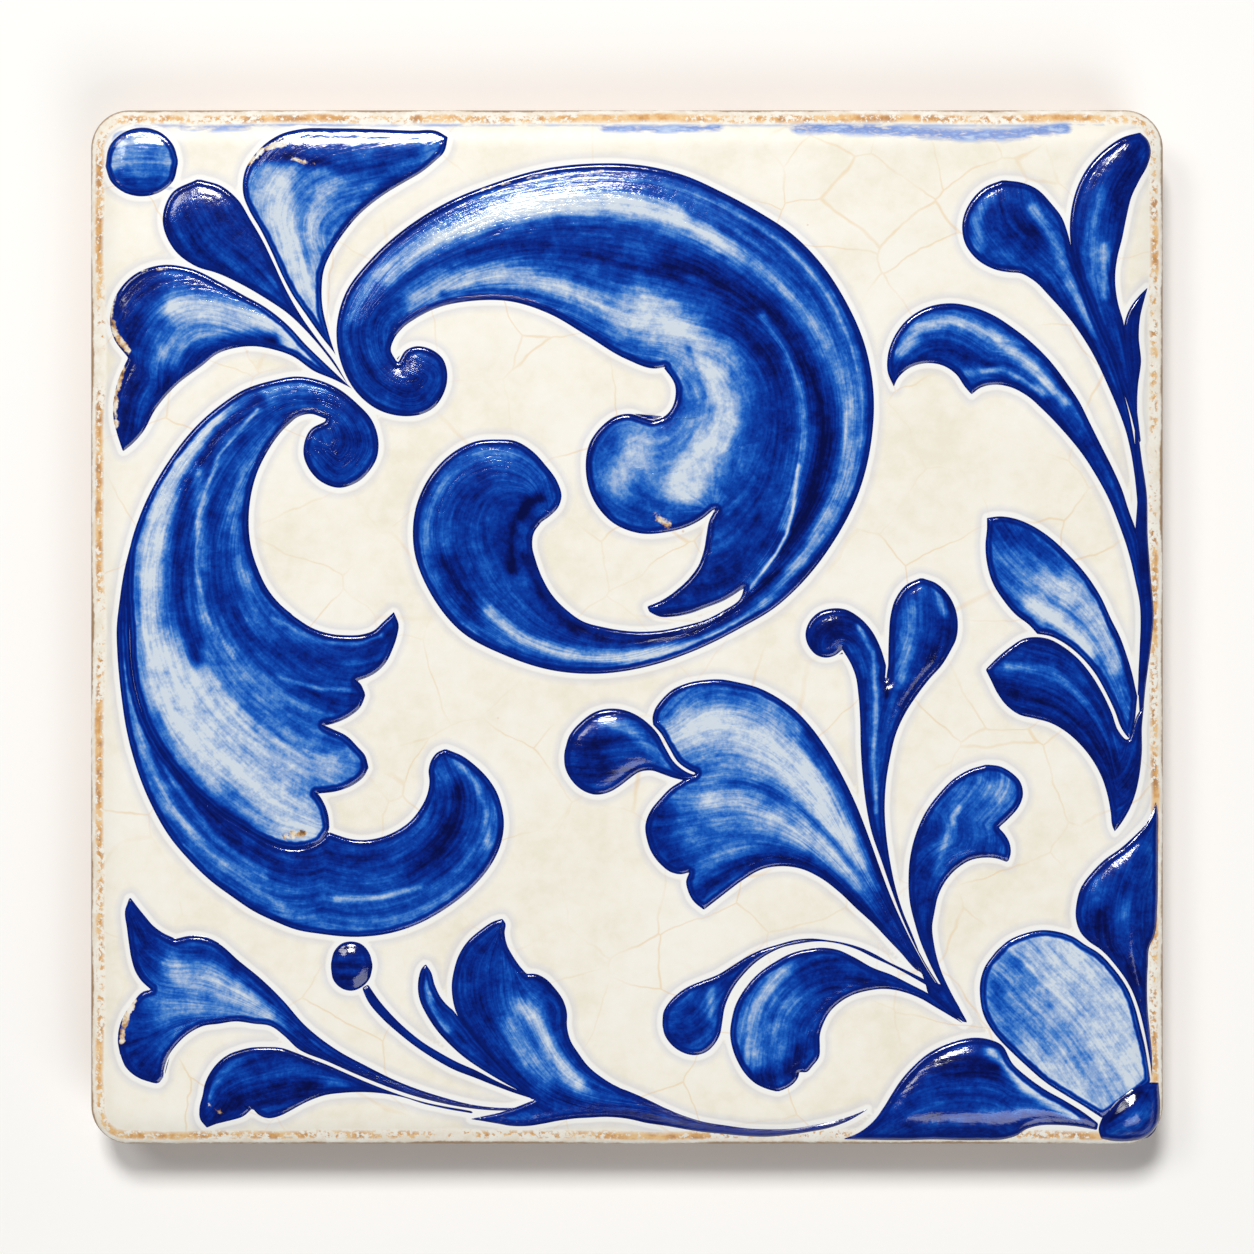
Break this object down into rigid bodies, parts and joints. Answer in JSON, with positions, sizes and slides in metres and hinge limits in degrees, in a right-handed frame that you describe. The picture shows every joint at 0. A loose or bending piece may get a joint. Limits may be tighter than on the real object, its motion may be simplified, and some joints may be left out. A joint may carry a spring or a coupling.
{
  "type": "azulejo tile",
  "caption": "Hand-made tin-glazed earthenware wall tile with a rolled rim and undercut sides, painted with a blue scroll-and-leaf quarter of a rosette pattern on cream.",
  "frame": {"origin": "middle of the plain back, on the surface that the tile lies on", "axes": "+Z out of the glazed face, +X along the longer edge, +Y along the shorter edge towards the edge that is uppermost in the picture; the quarter rosette is in the +X -Y corner"},
  "size_m": [0.14, 0.135, 0.012],
  "materials": {
    "tin_glaze": "gloss",
    "cobalt_paint": "gloss",
    "fired_clay": "matte"
  },
  "bodies": {
    "root": {"tile": "tin_glaze"}
  },
  "joints": []
}
